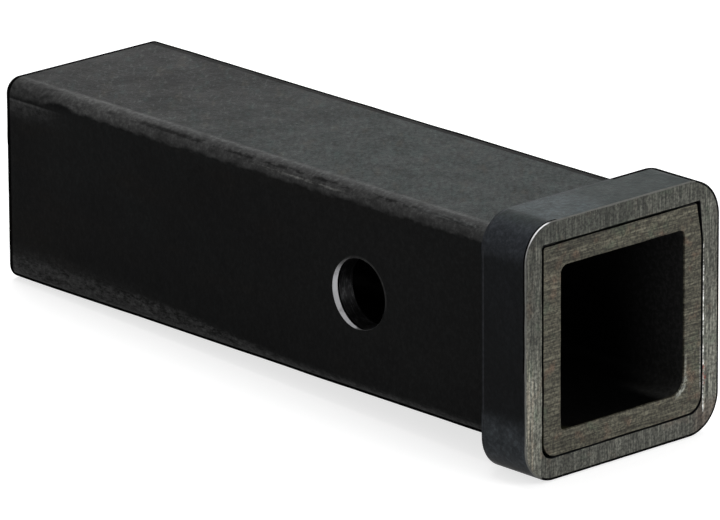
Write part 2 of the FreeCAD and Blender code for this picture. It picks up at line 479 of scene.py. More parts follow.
def edge_marks(nodes, ragged, worn):
    """The rubbed band along the upper left edge, paler before the back end, and a dark line in it."""
    x, y, z, span = nodes.x, nodes.y, nodes.z, nodes.span
    border = nodes.plus(z, nodes.times(ragged, 2.0), span(y, 60.0, 70.0, 0.12, -0.05),
                        span(y, 81.0, 86.0, 0.0, -0.75), span(y, 86.0, 93.0, 0.0, 1.05))
    rubbed = nodes.zone((nodes.minus(z, x), 33.5, 34.5), (border, 18.5, 19.6), (x, -16.4, -17.6),
                        (y, 84.0, 92.0, 1.0, 0.85), (worn, 0.3, 0.6, 0.5, 1.0))
    return (
        (grey(0.045), rubbed, 0.95),
        ((0.068, 0.068, 0.067), rubbed, (y, 50.0, 74.0, 0.2, 0.8), (y, 91.0, 83.0, 0.25, 1.0)),
        (grey(0.008), nodes.near(z, 19.9, 0.1, 0.3), (x, -17.6, -18.4), (worn, 0.62, 0.45),
         (y, 90.0, 50.0), 0.8),
    )


def dust_marks(nodes, left, dashes):
    """Dust low on the left side, with streaks, and a patch under a crease at its upper back corner."""
    y, z = nodes.y, nodes.z
    side = nodes.span(nodes.x, -18.2, -19.6)
    blotch = nodes.noise((1.0, 2.6, 0.9), 4.2, detail=6.0, roughness=0.8)
    above = nodes.minus(z, nodes.span(y, 14.0, 62.0, 0.0, 2.7))
    return (
        (grey(0.034), side, (z, -11.5, -17.0), (y, 50.0, 80.0), (blotch, 0.36, 0.6, 0.25, 1.0), 0.75),
        (grey(0.054), side, (above, -17.2, -18.8), (y, -36.0, 60.0, 0.5, 1.0),
         (blotch, 0.36, 0.64, 0.0, 1.15), 0.9),
        (grey(0.044), side, (z, -17.9, -18.7), (y, 70.0, 40.0), (dashes, 0.44, 0.58, 0.1, 1.0), 0.8),
        (grey(0.05), left, (y, 82.0, 99.0), (z, 12.0, 16.6), (z, 17.2, 16.8),
         (blotch, 0.35, 0.62, 0.25, 1.0), 0.9),
        (grey(0.065), left, nodes.near(z, 16.7, 0.1, 0.25), (y, 86.0, 97.0), 0.8),
    )


def scuff_marks(nodes, left, worn, dashes):
    """A fine line and a rub along the upper left edge, a rim above the pin hole, and a scuff."""
    x, y, z, near = nodes.x, nodes.y, nodes.z, nodes.near
    return (
        ((0.05, 0.051, 0.051), near(x, -17.9, 0.3, 0.6), (z, 19.8, 20.4), (y, 80.0, 40.0),
         (worn, 0.35, 0.6, 0.15, 1.0), 0.8),
        ((0.07, 0.072, 0.072), near(x, -19.4, 0.15, 0.4), (z, 18.5, 19.2), (y, -8.0, -20.0),
         (dashes, 0.35, 0.6, 0.2, 1.0), 0.8),
        (grey(0.036), near(nodes.distance(y, z), 7.2, 0.1, 0.22), (z, -3.0, 1.0), (y, 6.0, 3.5), 0.8),
        ((0.13, 0.13, 0.125), left, near(z, 19.0, 0.05, 0.28), (y, 32.0, 28.0), (y, 3.0, 9.0),
         (dashes, 0.42, 0.58)),
    )


def tube_marks(nodes):
    """All marks on the tube's mill scale, painted light on its top among them."""
    left = nodes.span(nodes.x, -19.0, -20.3)
    ragged = nodes.noise((1.4, 3.2, 1.4), 16.1, detail=5.0, roughness=0.6)
    worn = nodes.noise((1.2, 3.5, 1.2), 6.1, detail=4.0, roughness=0.65)
    dashes = nodes.noise((0.5, 2.3, 0.5), 9.4)
    return (*tone_marks(nodes, ragged), *top_dust_and_painted_light(nodes), *edge_marks(nodes, ragged, worn),
            *dust_marks(nodes, left, dashes), *scuff_marks(nodes, left, worn, dashes))


def inside_painted_light(nodes):
    """Painted light just inside the mouth: lighter on the right wall, at its lower corner and low on the
    left.
    """
    x, y, z = nodes.x, nodes.y, nodes.z
    from_corner = nodes.plus(nodes.times(x, 2.1), y)
    return (
        (grey(0.024), (x, 14.0, 15.6), (y, -28.0, -47.0), 0.9),
        ((0.024, 0.024, 0.023), (x, 8.5, 13.0), (z, -9.0, -13.0), (y, -34.0, -47.0), 0.9),
        ((0.022, 0.022, 0.013), (z, -14.6, -15.6), (from_corner, -75.5, -81.0), 0.9),
    )


def collar_marks_and_painted_light(nodes):
    """Dust on the top, also painted light, paler on its left, a pale bend with a painted highlight, a pale
    side, paler corners and a painted highlight line at the back.
    """
    x, z = nodes.x, nodes.z
    top = nodes.span(z, 22.5, 24.8)
    blotch = nodes.noise((3.0, 3.0, 4.0), 22.2, detail=4.0, roughness=0.6)
    corner = corner_zone(nodes, COLLAR_HALF, max(COLLAR_CORNERS_OUTSIDE))
    line = nodes.near(nodes.y, COLLAR_BACK - 0.65, 0.08, 0.22)
    return (
        # Dust, and also painted light: it makes the collar's top lighter than its sides.
        ((0.0115, 0.0185, 0.0175), top, 0.8),
        ((0.034, 0.044, 0.048), top, (x, 1.0, -10.0), (x, -19.5, -17.5), (blotch, 0.3, 0.6, 0.5, 1.0), 0.8),
        # A painted highlight on the upper left bend.
        ((0.037, 0.041, 0.048), (x, -16.0, -20.0), (z, 17.0, 20.5), (z, 25.4, 23.6),
         (blotch, 0.25, 0.6, 0.6, 1.0), 0.9),
        ((0.056, 0.063, 0.07), (x, -23.0, -24.6), (z, -11.5, -16.5), (blotch, 0.3, 0.6, 0.55, 1.0), 0.9),
        ((0.016, 0.018, 0.021), corner, (blotch, 0.45, 0.6, 0.0, 0.6), 0.8),
        # A painted highlight line before the back edge, standing in for the back chamfer's glint.
        ((0.028, 0.029, 0.033), line, (blotch, 0.25, 0.5, 0.4, 1.0), 0.8),
    )


def sawn_steel(name, tones, rust_tone, along_x, level, marks):
    """A sawn face, dark to light, with short lines parallel to x, or to z, and a coarse grain."""
    nodes = Nodes(name)
    thin, wide = (0.34, 5.0), (1.0, 26.0)
    sizes = [(long, 50.0, short) if along_x else (short, 50.0, long) for short, long in (thin, wide)]
    lines = nodes.noise(sizes[0], 2.3, roughness=0.65)
    bands = nodes.noise(sizes[1], 8.1, detail=2.0)
    patches = nodes.noise(3.5, 4.4, detail=4.0)
    moss = nodes.noise(4.0, 19.4, detail=4.0)
    grains = nodes.noise(0.55, 9.2, roughness=0.6)
    colour = nodes.marked(
        tones[0],
        (tones[1], (lines, 0.34, 0.68)),
        (rust_tone, (patches, 0.55, 0.72, 0.0, 0.6)),
        ((0.055, 0.078, 0.052), (moss, 0.56, 0.72, 0.0, 0.4)),
        *marks(nodes),
    )
    shade = nodes.shaded(colour, nodes.zone(level(nodes), (bands, 0.3, 0.7, 0.75, 1.25),
                                            (grains, 0.34, 0.66, 0.5, 1.5)))
    height = nodes.plus(nodes.times(lines, 0.8), nodes.times(bands, 0.5), nodes.times(grains, 0.4))
    rough = nodes.span(grains, 0.3, 0.7, 0.42, 0.58)
    return nodes.set(Base_Color=shade, Roughness=rough, Metallic=0.6, Specular_IOR_Level=0.3,
                     Normal=nodes.bump(height, 0.6, 0.06))


def tube_level(nodes):
    """The tube's face, darker at the upper left."""
    return nodes.span(nodes.zone((nodes.x, 4.0, -8.0), (nodes.z, 14.0, 17.0)), 0.0, 1.0, 1.03, 0.86)


def collar_painted_sheen_level(nodes):
    """Painted sheen and shade on the collar's bars, for how their saw grain reflects the light: the upper
    ones darker, the lower half of the left and right ones lighter.
    """
    span, times = nodes.span, nodes.times
    upright = span(nodes.math("ABSOLUTE", nodes.x), 20.6, 21.4)
    low = span(nodes.z, 5.0, -6.0)
    left = span(nodes.x, 2.0, -2.0)
    side = nodes.plus(times(low, 0.44), times(left, span(low, 0.0, 1.0, -0.22, 0.0)), -0.08)
    upper = times(span(upright, 0.0, 1.0, -0.08, 0.0), span(nodes.z, 20.5, 21.5))
    return nodes.plus(1.0, times(upright, side), upper)


def burr_dots_and_glints(nodes, centre, low, high):
    """Bright specks along the gap on the mouth's right side, burrs partly painted as glints, round centre in
    x and from low to high.
    """
    dots = nodes.noise((0.8, 0.8, 0.45), 12.7, detail=2.0, roughness=0.6)
    clumps = nodes.noise((2.0, 2.0, 2.4), 41.7, roughness=0.6)
    return nodes.zone(nodes.near(nodes.x, centre, 0.07, 0.12), (nodes.y, *AT_MOUTH),
                      (nodes.z, low - 2.0, low), (nodes.z, high + 2.0, high),
                      (dots, 0.4, 0.52, 0.1, 1.0), (clumps, 0.4, 0.52, 0.12, 1.0))


def tube_face_marks(nodes):
    """A pale strip right of the opening, burr specks with painted glints along the gap, and the opening's
    lower right corner.
    """
    x, z, near = nodes.x, nodes.z, nodes.near
    centre = OPENING_HALF - 3.2
    reach = nodes.distance(nodes.minus(x, centre), nodes.plus(z, centre))
    speckle = nodes.noise((0.6, 3.0, 0.6), 3.0, roughness=0.65)
    return (
        ((0.24, 0.24, 0.21), near(x, OPENING_HALF + 0.45, 0.12, 0.25), (z, -7.5, -9.5), (z, -13.4, -12.6),
         (speckle, 0.35, 0.55, 0.3, 1.0), 0.6),
        # Burr specks, partly painted glints.
        ((0.3, 0.3, 0.29), burr_dots_and_glints(nodes, 20.35, -15.0, -6.0), 0.7),
        ((0.27, 0.28, 0.25), near(reach, 3.7, 0.3, 0.35), (x, 13.6, 14.4), (z, -12.0, -13.6),
         (speckle, 0.42, 0.58, 0.12, 1.0), 0.8),
    )


def collar_face_marks(nodes):
    """The back face's heat tint, and the front face's dark and brown parts, streaks, burr specks with painted
    glints, and rust; the upper bar's dark part is painted shade.
    """
    x, z, near = nodes.x, nodes.z, nodes.near
    tint = nodes.marked((0.05, 0.038, 0.026), ((0.028, 0.034, 0.052), (nodes.noise(3.0, 5.5), 0.4, 0.6)))
    streaks = nodes.noise((0.42, 50.0, 32.0), 14.9, detail=2.0)
    furrows = nodes.noise((0.5, 50.0, 16.0), 31.3, detail=2.0)
    return (
        (tint, (nodes.y, COLLAR_BACK - 2.0, COLLAR_BACK - 1.0), 0.85),
        # Painted shade: the upper bar darker, for how its saw grain reflects the light.
        ((0.028, 0.03, 0.026), (z, 20.5, 21.5), (x, 16.0, -6.0, 0.6, 1.0), 0.62),
        ((0.05, 0.05, 0.045), (z, -20.5, -21.5), 0.35),
        ((0.062, 0.044, 0.034), (x, 17.5, 20.0), (z, -17.5, -20.0), 0.5),
        ((0.27, 0.24, 0.19), (x, -22.5, -23.4), (z, 8.0, -12.0, 0.2, 1.0), (streaks, 0.5, 0.62), 0.6),
        ((0.035, 0.032, 0.024), (x, -21.0, -21.6), (z, 6.0, -8.0, 0.3, 1.0), (furrows, 0.54, 0.64), 0.55),
        # Burr specks, partly painted glints.
        ((0.62, 0.62, 0.6), burr_dots_and_glints(nodes, 21.15, -20.0, 11.0), 0.95),
        ((0.16, 0.035, 0.025), near(x, 21.5, 0.3, 0.4), near(z, -13.5, 1.4, 1.2),
         (nodes.noise(0.6, 7.0), 0.48, 0.58), 0.8),
    )


def bare_edge(name, dull, bright, share):
    """A deburred edge or a bore: dull, and bright by a share."""
    nodes = Nodes(name)
    patches = nodes.noise(1.6, 6.6, detail=4.0, roughness=0.65)
    fine = nodes.noise(0.35, 3.4, detail=2.0)
    lighter = tuple(value * 1.6 for value in dull)
    colour = nodes.marked(dull, (lighter, (patches, 0.3, 0.7, 0.0, 0.6)), (bright, share(nodes, patches)))
    rough = nodes.span(fine, 0.3, 0.7, 0.3, 0.45)
    return nodes.set(Base_Color=colour, Roughness=rough, Metallic=0.95, Normal=nodes.bump(fine, 0.3, 0.03))


def crescent(nodes, patches):
    """A painted highlight on the front edge round the collar's upper left corner, with bright specks
    elsewhere.
    """
    corner = nodes.zone((nodes.x, -18.5, -20.0), (nodes.z, 21.0, 23.4, 0.25, 1.0), (nodes.z, 18.5, 20.5),
                        (nodes.y, *AT_MOUTH), (patches, 0.25, 0.45, 0.55, 1.0))
    return nodes.math("MAXIMUM", corner, nodes.span(patches, 0.7, 0.78, 0.0, 0.5))


def hole_crescent(nodes, patches):
    """Bright on the pin hole's edge towards the tube's back end: burnished metal, partly a painted highlight.
    """
    return nodes.zone((nodes.z, 5.4, 2.2), (nodes.z, -7.4, -6.9), (nodes.y, 0.6, 1.6),
                      (patches, 0.3, 0.55, 0.6, 1.0))


def drill_streaks(nodes, patches):
    """Broken bright streaks round the bore."""
    streaks = nodes.noise((0.35, 1.8, 1.8), 2.9, detail=4.0, roughness=0.7)
    return nodes.zone((streaks, 0.46, 0.66), (patches, 0.35, 0.6, 0.2, 1.0))


def weld_metal():
    """The bead: dull silver brown, tinted in bands."""
    nodes = Nodes("weld_bead_metal")
    cloud = nodes.noise(2.4, 2.0, detail=4.0)
    tint = nodes.noise(7.0, 5.0, detail=2.0)
    colour = nodes.marked((0.055, 0.052, 0.052), ((0.13, 0.115, 0.095), (cloud, 0.35, 0.65)),
                          ((0.05, 0.06, 0.09), (tint, 0.5, 0.7, 0.0, 0.5)))
    rough = nodes.span(cloud, 0.3, 0.7, 0.34, 0.5)
    return nodes.set(Base_Color=colour, Roughness=rough, Metallic=0.75,
                     Normal=nodes.bump(nodes.noise(0.4, 1.0), 0.35, 0.05))


def make_materials():
    """The material for each kind of face."""
    scales = (
        ("tube_scale", "tube_mill_scale", (0.0038, 0.0038, 0.0039), (0.0054, 0.0058, 0.0058),
         (0.0062, 0.0053, 0.0045), tube_marks, SCALE_GLOSS),
        # Edge materials without gloss, near black: painted shade along edges and outlines. The border ones
        # beside them, with little gloss, grade that shade.
        ("tube_edge", "tube_edge_scale", grey(0.003), grey(0.0045), (0.005, 0.0045, 0.004), None, 0.0),
        ("tube_border", "tube_border_scale", (0.0034, 0.0034, 0.0035), (0.005, 0.0054, 0.0054),
         (0.0058, 0.0049, 0.0041), None, BORDER_GLOSS),
        ("collar_scale", "collar_mill_scale", (0.004, 0.0043, 0.005), (0.0058, 0.0066, 0.0078),
         (0.0062, 0.0057, 0.0068), collar_marks_and_painted_light, COLLAR_GLOSS),
        # The collar's edge and border materials: the same painted shade and its grading.
        ("collar_edge", "collar_edge_scale", (0.004, 0.004, 0.0042), (0.006, 0.006, 0.0062),
         (0.006, 0.0055, 0.0055), None, 0.0),
        ("collar_border", "collar_border_scale", (0.004, 0.0041, 0.0046), (0.0058, 0.0062, 0.007),
         (0.006, 0.0056, 0.006), None, BORDER_GLOSS),
        # The tube's inside: tones darker than the outside's, a painted shade in the hollow, and painted light
        # just inside the mouth.
        ("tube_inside", "tube_inside_scale", grey(0.0015), grey(0.0024), (0.003, 0.0027, 0.0025),
         inside_painted_light, SCALE_GLOSS),
    )
    return {
        **{kind: mill_scale(*looks) for kind, *looks in scales},
        "tube_sawn": sawn_steel("tube_sawn_face", ((0.03, 0.028, 0.02), (0.098, 0.093, 0.069)),
                                (0.095, 0.062, 0.043), True, tube_level, tube_face_marks),
        "collar_sawn": sawn_steel("collar_sawn_face", ((0.04, 0.042, 0.035), (0.15, 0.15, 0.126)),
                                  (0.11, 0.088, 0.068), False, collar_painted_sheen_level, collar_face_marks),
        # The collar's front edge: dull bare metal, with a painted highlight round its upper left corner and
        # bright specks.
        "edge": bare_edge("bare_edge", (0.082, 0.082, 0.076), (0.62, 0.62, 0.63), crescent),
        # The pin hole's chamfer: bright towards the back end, partly a painted highlight.
        "bore_edge": bare_edge("bore_edge", grey(0.05), (0.32, 0.32, 0.33), hole_crescent),
        "bore": bare_edge("drilled_bore", (0.03, 0.03, 0.031), (0.13, 0.13, 0.135), drill_streaks),
        "weld": weld_metal(),
    }


# The tube


def tube_rows():
    """Places along the tube: dense at its ends and over the pin hole."""
    front = MOUTH + TUBE_EDGE_BREAK + END_ROWS
    back = BACK - TUBE_EDGE_BREAK - END_ROWS[::-1]
    before = np.linspace(front[-1], -PATCH_HALF, OUTSIDE_ROWS[0])[1:-1]
    patch = np.linspace(-PATCH_HALF, PATCH_HALF, PATCH_STEPS + 1)
    after = np.linspace(PATCH_HALF, back[0], OUTSIDE_ROWS[1])[1:-1]
    return np.concatenate([front, before, patch, after, back])


def inside_rows():
    """The same inside the tube, from its back end to its mouth, further apart."""
    before = np.linspace(BACK - TUBE_EDGE_BREAK, PATCH_HALF, INSIDE_ROWS[1])[:-1]
    patch = np.linspace(PATCH_HALF, -PATCH_HALF, PATCH_STEPS + 1)
    after = np.linspace(-PATCH_HALF, MOUTH + TUBE_EDGE_BREAK, INSIDE_ROWS[0])[1:]
    return np.concatenate([before, patch, after])


def mouth_share(y):
    """1 at the mouth, 0 further along the tube."""
    return 1.0 - float(smooth_step(y, MOUTH + MOUTH_CORNERS_START, MOUTH + MOUTH_CORNERS_END))


def mouth_corners(y):
    """The tube's corner radii at a place along it: the upper two are nearly sharp at the mouth."""
    share = mouth_share(y)
    return [body + (mouth - body) * share for mouth, body in zip(TUBE_CORNERS_MOUTH, TUBE_CORNERS_BODY)]


def mouth_outline(y):
    """The tube's outline at a place along it."""
    return leaned(outline(TUBE_HALF, mouth_corners(y)), TUBE_LEAN * mouth_share(y))


def add_end(surface, y, faces, loops, steps, kinds):
    """An end face between its two outlines, joined to the last loops outside and inside.

    kinds are the materials of its outer edge, of itself and of its inner edge."""
    outer, inner = faces
    rings = [surface.add(ring(outer, y))]
    inner_edge = surface.add(ring(inner, y))
    surface.join(loops[0], rings[0], kinds[0])
    for step in range(1, steps):
        share = step / steps
        rings.append(surface.add(ring(outer * (1 - share) + inner * share, y)))
    surface.join_all(rings + [inner_edge], kinds[1])
    surface.join(inner_edge, loops[1], kinds[2])


def patch_border(loops, first_row, side):
    """Vertices round the square left open for the pin hole in a side, in turn."""
    start, steps = patch_start(side), PATCH_STEPS
    rows = loops[first_row:first_row + steps + 1]
    border = [rows[0][start + mark] for mark in range(steps)]
    border += [rows[row][start + steps] for row in range(steps)]
    border += [rows[steps][start + mark] for mark in range(steps, 0, -1)]
    border += [rows[row][start] for row in range(steps, 0, -1)]
    return np.array(border)


def hole_points(angles, x, radius):
    """Points round the pin hole's axis."""
    across = np.broadcast_to(x, len(angles))
    return np.column_stack([across, radius * np.cos(angles), radius * np.sin(angles)])


def chamfer_width(angles):
    """The chamfer round the pin hole is off centre: a crescent towards the tube's back end."""
    away = np.abs(np.angle(np.exp(1j * (angles - PIN_HOLE_BREAK_TURN))))
    return 0.06 + PIN_HOLE_BREAK * np.cos(np.minimum(away * 1.12, math.pi / 2)) ** 0.7


def wall_to_hole(surface, border, widening, kind, steps=7):
    """Fills the square round the pin hole up to its rim, and returns the rim and its angles."""
    places = surface.all_points()[border]
    angles = np.arctan2(places[:, 2], places[:, 1])
    rim = hole_points(angles, places[:, 0], PIN_HOLE_RADIUS + widening(angles))
    loops = [border]
    for step in range(1, steps + 1):
        share = (step / steps) ** 0.8
        loops.append(surface.add(places * (1 - share) + rim * share))
    surface.join_all(loops, kind)
    return loops[-1], angles


def matched(loop, loop_angles, angles):
    """A loop round the hole in the order of other angles."""
    count = len(angles)
    shift = int(np.argmin(np.abs(np.exp(1j * loop_angles) - np.exp(1j * angles[0]))))
    step = np.angle(np.exp(1j * (loop_angles[(shift + 1) % count] - loop_angles[shift])))
    way = np.angle(np.exp(1j * (angles[1] - angles[0])))
    return loop[(shift + np.arange(count) * (1 if step * way > 0 else -1)) % count]


def add_pin_hole(surface, outer_border, inner_border, sign):
    """The drilled hole through one side wall, with a chamfer outside."""
    rim, angles = wall_to_hole(surface, outer_border, chamfer_width, "tube_scale")
    far_rim, far_angles = wall_to_hole(surface, inner_border, lambda turn: 0.1 + 0 * turn, "tube_inside")
    far_rim = matched(far_rim, far_angles, angles)
    width = chamfer_width(angles)
    previous = rim
    for share in (0.5, 1.0):
        loop = surface.add(hole_points(angles, sign * (TUBE_HALF - width * share),
                                       PIN_HOLE_RADIUS + width * (1 - share)))
        surface.join(previous, loop, "bore_edge")
        previous = loop
    for number, share in enumerate(np.linspace(0.0, 1.0, 9)[1:]):
        depth = width + (TUBE_WALL - 0.1 - width) * share
        wave = 0.03 * np.sin(depth * 7.0 + angles)
        loop = surface.add(hole_points(angles, sign * (TUBE_HALF - depth), PIN_HOLE_RADIUS + wave))
        # Painted shade: the bore's first ring takes the inside's darker material, a dark line between the
        # chamfer and the bore.
        surface.join(previous, loop, "tube_inside" if number == 0 else "bore")
        previous = loop
    surface.join(previous, far_rim, "bore")


def edge_noise(seed, count, base, spread, pieces=40):
    """Widths round a loop that vary smoothly and meet at its ends."""
    turn = np.linspace(0.0, 2 * math.pi, count, endpoint=False)
    reach = pieces / (2 * math.pi)
    points = np.column_stack([np.cos(turn) * reach, np.sin(turn) * reach, np.zeros(count)])
    return base + spread * Field(seed).at(points, 1.0)


def join_rows(surface, loops, first_row, kind):
    """Faces between the tube's rows, apart from the squares round the pin hole in both sides."""
    starts = [patch_start(side) for side in (RIGHT_SIDE, LEFT_SIDE)]
    patches = {start + step for start in starts for step in range(PATCH_STEPS)}
    for number in range(len(loops) - 1):
        over_hole = first_row <= number < first_row + PATCH_STEPS
        surface.join(loops[number], loops[number + 1], kind, patches if over_hole else ())


def add_tube_ends(surface, inside, loops, inner_loops):
    """The sawn faces at the tube's back end and its mouth, with their deburred edges."""
    count = len(inside)
    back_break = edge_noise(5, count, TUBE_EDGE_BREAK, 0.12)
    mouth_break = edge_noise(7, count, 0.16, 0.06)
    mouth_break -= 0.09 * smooth_step(-inside[:, 1], 12.0, 16.0) * smooth_step(-inside[:, 0], -14.0, -10.0)
    inner_break = edge_noise(6, count, 0.12, 0.05)
    inner_face = outline_inset(OPENING_HALF, TUBE_CORNERS_INSIDE, -inner_break)
    # Painted shade: the back end's outer edge gets the unglossy black edge material, and the mouth's outer
    # edge the inside's darker one, as shade in the gap to the collar.
    ends = ((BACK, (loops[-1], inner_loops[0]), back_break, "tube_edge"),
            (MOUTH, (loops[0], inner_loops[-1]), mouth_break, "tube_inside"))
    for end, end_loops, width, kind in ends:
        outer_face = outline_inset(TUBE_HALF, mouth_corners(end), width)
        outer_face = leaned(outer_face, TUBE_LEAN * mouth_share(end))
        add_end(surface, end, (outer_face, inner_face), end_loops, TUBE_FACE_STEPS,
                (kind, "tube_sawn", "tube_sawn"))


def tube_surface():
    """The tube's whole surface: outside, inside, back face and mouth face, and the pin hole."""
    surface = Surface()
    rows, inner_rows = tube_rows(), inside_rows()
    inside = outline(OPENING_HALF, TUBE_CORNERS_INSIDE)
    loops = [surface.add(ring(mouth_outline(y), y)) for y in rows]
    inner_loops = [surface.add(ring(inside, y)) for y in inner_rows]
    first_row = int(np.argmin(np.abs(rows + PATCH_HALF)))
    inner_first = int(np.argmin(np.abs(inner_rows - PATCH_HALF)))
    join_rows(surface, loops, first_row, "tube_scale")
    join_rows(surface, inner_loops, inner_first, "tube_inside")
    add_tube_ends(surface, inside, loops, inner_loops)
    for side, sign in ((RIGHT_SIDE, 1.0), (LEFT_SIDE, -1.0)):
        add_pin_hole(surface, patch_border(loops, first_row, side),
                     patch_border(inner_loops, inner_first, side), sign)
    return surface


def on_tube_shade_edge(x, y, z):
    """Painted shade, unglossy black: the lower long edges, the upper right one and a strip before the back
    end.
    """
    flat = TUBE_HALF - TUBE_CORNER
    lower = z < -TUBE_HALF + 1.65 and abs(x) > flat
    upper = x > flat - 0.1 and z > TUBE_HALF - 0.5
    return lower or upper or y > BACK - 1.3


def on_tube_border(x, y, z):
    """Strips of the top and of the right side beside the painted shade on the upper right edge, grading it.
    """
    flat = TUBE_HALF - TUBE_CORNER
    top = x > flat - 1.0 and z > TUBE_HALF - 0.01
    side = x > flat and z > TUBE_HALF - 1.4
    return top or side


def on_collar_shade_edge(x, y, z):
    """Painted shade, unglossy black: the right and lower parts of the collar's front edge."""
    return x > 19.0 or z < -COLLAR_HALF + 1.0


def on_collar_shade_side(x, y, z):
    """Painted shade, unglossy black: strips behind the front edge and before the back one, the underside and
    the upper right corner.
    """
    strip = y < MOUTH + 0.75 and x < -17.0 and z > -3.0
    back = y > COLLAR_BACK - 0.9 and x > 8.0 and z > 0.0
    lower = z < -COLLAR_HALF + 1.2
    upper = x > 18.0 and z > COLLAR_HALF - 0.9
    return strip or back or lower or upper


def on_collar_border(x, y, z):
    """A strip of the right side beside the painted shade on the upper right corner, grading it."""
    return x > 18.0 and z > COLLAR_HALF - 2.4


def saw_end(points, end, way, axis, seed, depth):
    """Moves the points at an end inwards by its saw marks, which follow each other along an axis."""
    field, distance = Field(seed), points[:, axis]
    relief = depth * (0.6 * field.along(distance, 0.8) + 0.4 * field.along(distance + 40.0, 2.7))
    weight = 1.0 - smooth_step(np.abs(points[:, 1] - end), 0.35, 1.4)
    points[:, 1] += way * weight * (0.03 + relief)


def wear_tube(surface):
    """The tube's points with uneven sides, rubbed long edges and saw marks."""
    points = surface.all_points()
    normals = surface.all_normals(points)
    across = np.maximum(np.abs(points[:, 0]), np.abs(points[:, 2]))
    outside = smooth_step(across, OPENING_HALF + 2.0, TUBE_HALF - 0.6)
    ends = np.minimum(points[:, 1] - MOUTH, BACK - points[:, 1])
    inboard = smooth_step(ends, 0.0, 6.0)
    uneven = 0.035 * Field(21).at(points, (18.0, 30.0, 18.0)) + 0.01 * Field(22).at(points, (3.0, 4.0, 3.0))
    corner = np.minimum(np.abs(points[:, 0]), np.abs(points[:, 2]))
    on_corner = smooth_step(corner, TUBE_HALF - TUBE_CORNER - 0.5, TUBE_HALF - TUBE_CORNER + 1.2)
    rubbed = 0.07 * np.clip(Field(23).at(points, (5.0, 13.0, 5.0)), 0.0, 1.0) * on_corner
    points = points + normals * ((uneven * outside - rubbed * outside) * inboard)[:, None]
    saw_end(points, MOUTH, 1.0, 2, 31, 0.03)
    saw_end(points, BACK, -1.0, 2, 32, 0.03)
    return points


def make_tube(materials):
    surface = tube_surface()
    # Painted shade on dark edges, with graded strips beside them.
    surface.rename("tube_scale", "tube_edge", on_tube_shade_edge)
    surface.rename("tube_scale", "tube_border", on_tube_border)
    piece = surface.make("tube_shell", wear_tube(surface), materials)
    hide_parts("receiver_tube")
    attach(piece, "root")


# The collar


def add_collar_sides(surface, outside, inside, front, back, inner_front):
    """The collar's outside between front and back, and its inside, each as a list of loops."""
    shares = np.concatenate([[0.0, 0.036], np.linspace(0.09, 1.0, 13)])
    outer_loops = [surface.add(ring(outside, front * (1 - share) + back * share)) for share in shares]
    inner_back = COLLAR_BACK - 0.2
    inner_loops = [surface.add(ring(leaned(inside, COLLAR_LEAN * smooth_step(share, 0.3, 1.0)),
                                    inner_back * (1 - share) + inner_front * share))
                   for share in np.linspace(0.0, 1.0, 9)]
    surface.join_all(outer_loops, "collar_scale")
    surface.join_all(inner_loops, "collar_scale")
    return outer_loops, inner_loops


def collar_surface():
    """The collar's whole surface: outside, inside, back face and front face."""
    surface = Surface()
    outside = outline(COLLAR_HALF, COLLAR_CORNERS_OUTSIDE, **COLLAR_STEPS)
    inside = outline(COLLAR_INSIDE, COLLAR_CORNERS_INSIDE, **COLLAR_STEPS)
    count = len(outside)
    front_break = edge_noise(41, count, 0.22, 0.06, 60)
    front_break -= 0.08 * smooth_step(outside[:, 1] - outside[:, 0], 42.0, 45.0)
    flattened = np.maximum(smooth_step(outside[:, 0], 18.0, 22.0), smooth_step(-outside[:, 1], 23.0, 24.5))
    back_break = edge_noise(42, count, 0.35, 0.08, 60)
    inner_break = edge_noise(43, count, 0.1, 0.05, 90)
    front = MOUTH + front_break + (0.05 - front_break) * flattened
    outer_loops, inner_loops = add_collar_sides(surface, outside, inside, front,
                                                COLLAR_BACK - back_break * 0.5, MOUTH + inner_break)
    front_inset = front_break + (0.46 - front_break) * flattened
    ends = (
        (COLLAR_BACK, (outer_loops[-1], inner_loops[0]), back_break, np.full(count, -0.2), 0.0,
         "collar_scale"),
        (MOUTH, (outer_loops[0], inner_loops[-1]), front_inset, -inner_break, COLLAR_LEAN, "edge"),
    )
    for end, loops, inset, inner_inset, lean, kind in ends:
        outer_face = outline_inset(COLLAR_HALF, COLLAR_CORNERS_OUTSIDE, inset, **COLLAR_STEPS)
        inner_face = outline_inset(COLLAR_INSIDE, COLLAR_CORNERS_INSIDE, inner_inset, **COLLAR_STEPS)
        add_end(surface, end, (outer_face, leaned(inner_face, lean)), loops, COLLAR_FACE_STEPS,
                (kind, "collar_sawn", "collar_scale"))
    return surface


def wear_collar(surface):
    """The collar's points with uneven sides and saw marks."""
    points = surface.all_points()
    normals = surface.all_normals(points)
    across = np.maximum(np.abs(points[:, 0]), np.abs(points[:, 2]))
    outside = smooth_step(across, COLLAR_INSIDE + 1.0, COLLAR_HALF - 0.6)
    uneven = 0.04 * Field(51).at(points, 14.0) + 0.012 * Field(52).at(points, 2.6)
    points = points + normals * (uneven * outside)[:, None]
    saw_end(points, MOUTH, 1.0, 0, 53, 0.035)
    saw_end(points, COLLAR_BACK, -1.0, 0, 54, 0.035)
    return points


def make_collar(materials):
    surface = collar_surface()
    # Painted shade on dark edges and strips, with a graded strip beside them.
    surface.rename("edge", "collar_edge", on_collar_shade_edge)
    surface.rename("collar_scale", "collar_edge", on_collar_shade_side)
    surface.rename("collar_scale", "collar_border", on_collar_border)
    piece = surface.make("collar_ring", wear_collar(surface), materials)
    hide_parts("collar")
    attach(piece, "root")


# The weld


def ripple_phase(seat):
    """How many ripples lie before each point of the seat, unevenly spaced."""
    length = np.concatenate([[0.0], np.cumsum(np.linalg.norm(np.diff(seat, axis=0), axis=1))])
    whole = length[-1] + np.linalg.norm(seat[0] - seat[-1])
    ripples = round(whole / WELD_PITCH)
    inboard = np.minimum(1.0, np.minimum(length, whole - length) / 6.0)
    return length / whole * ripples + 0.22 * Field(61).along(length, 6.0) * inboard


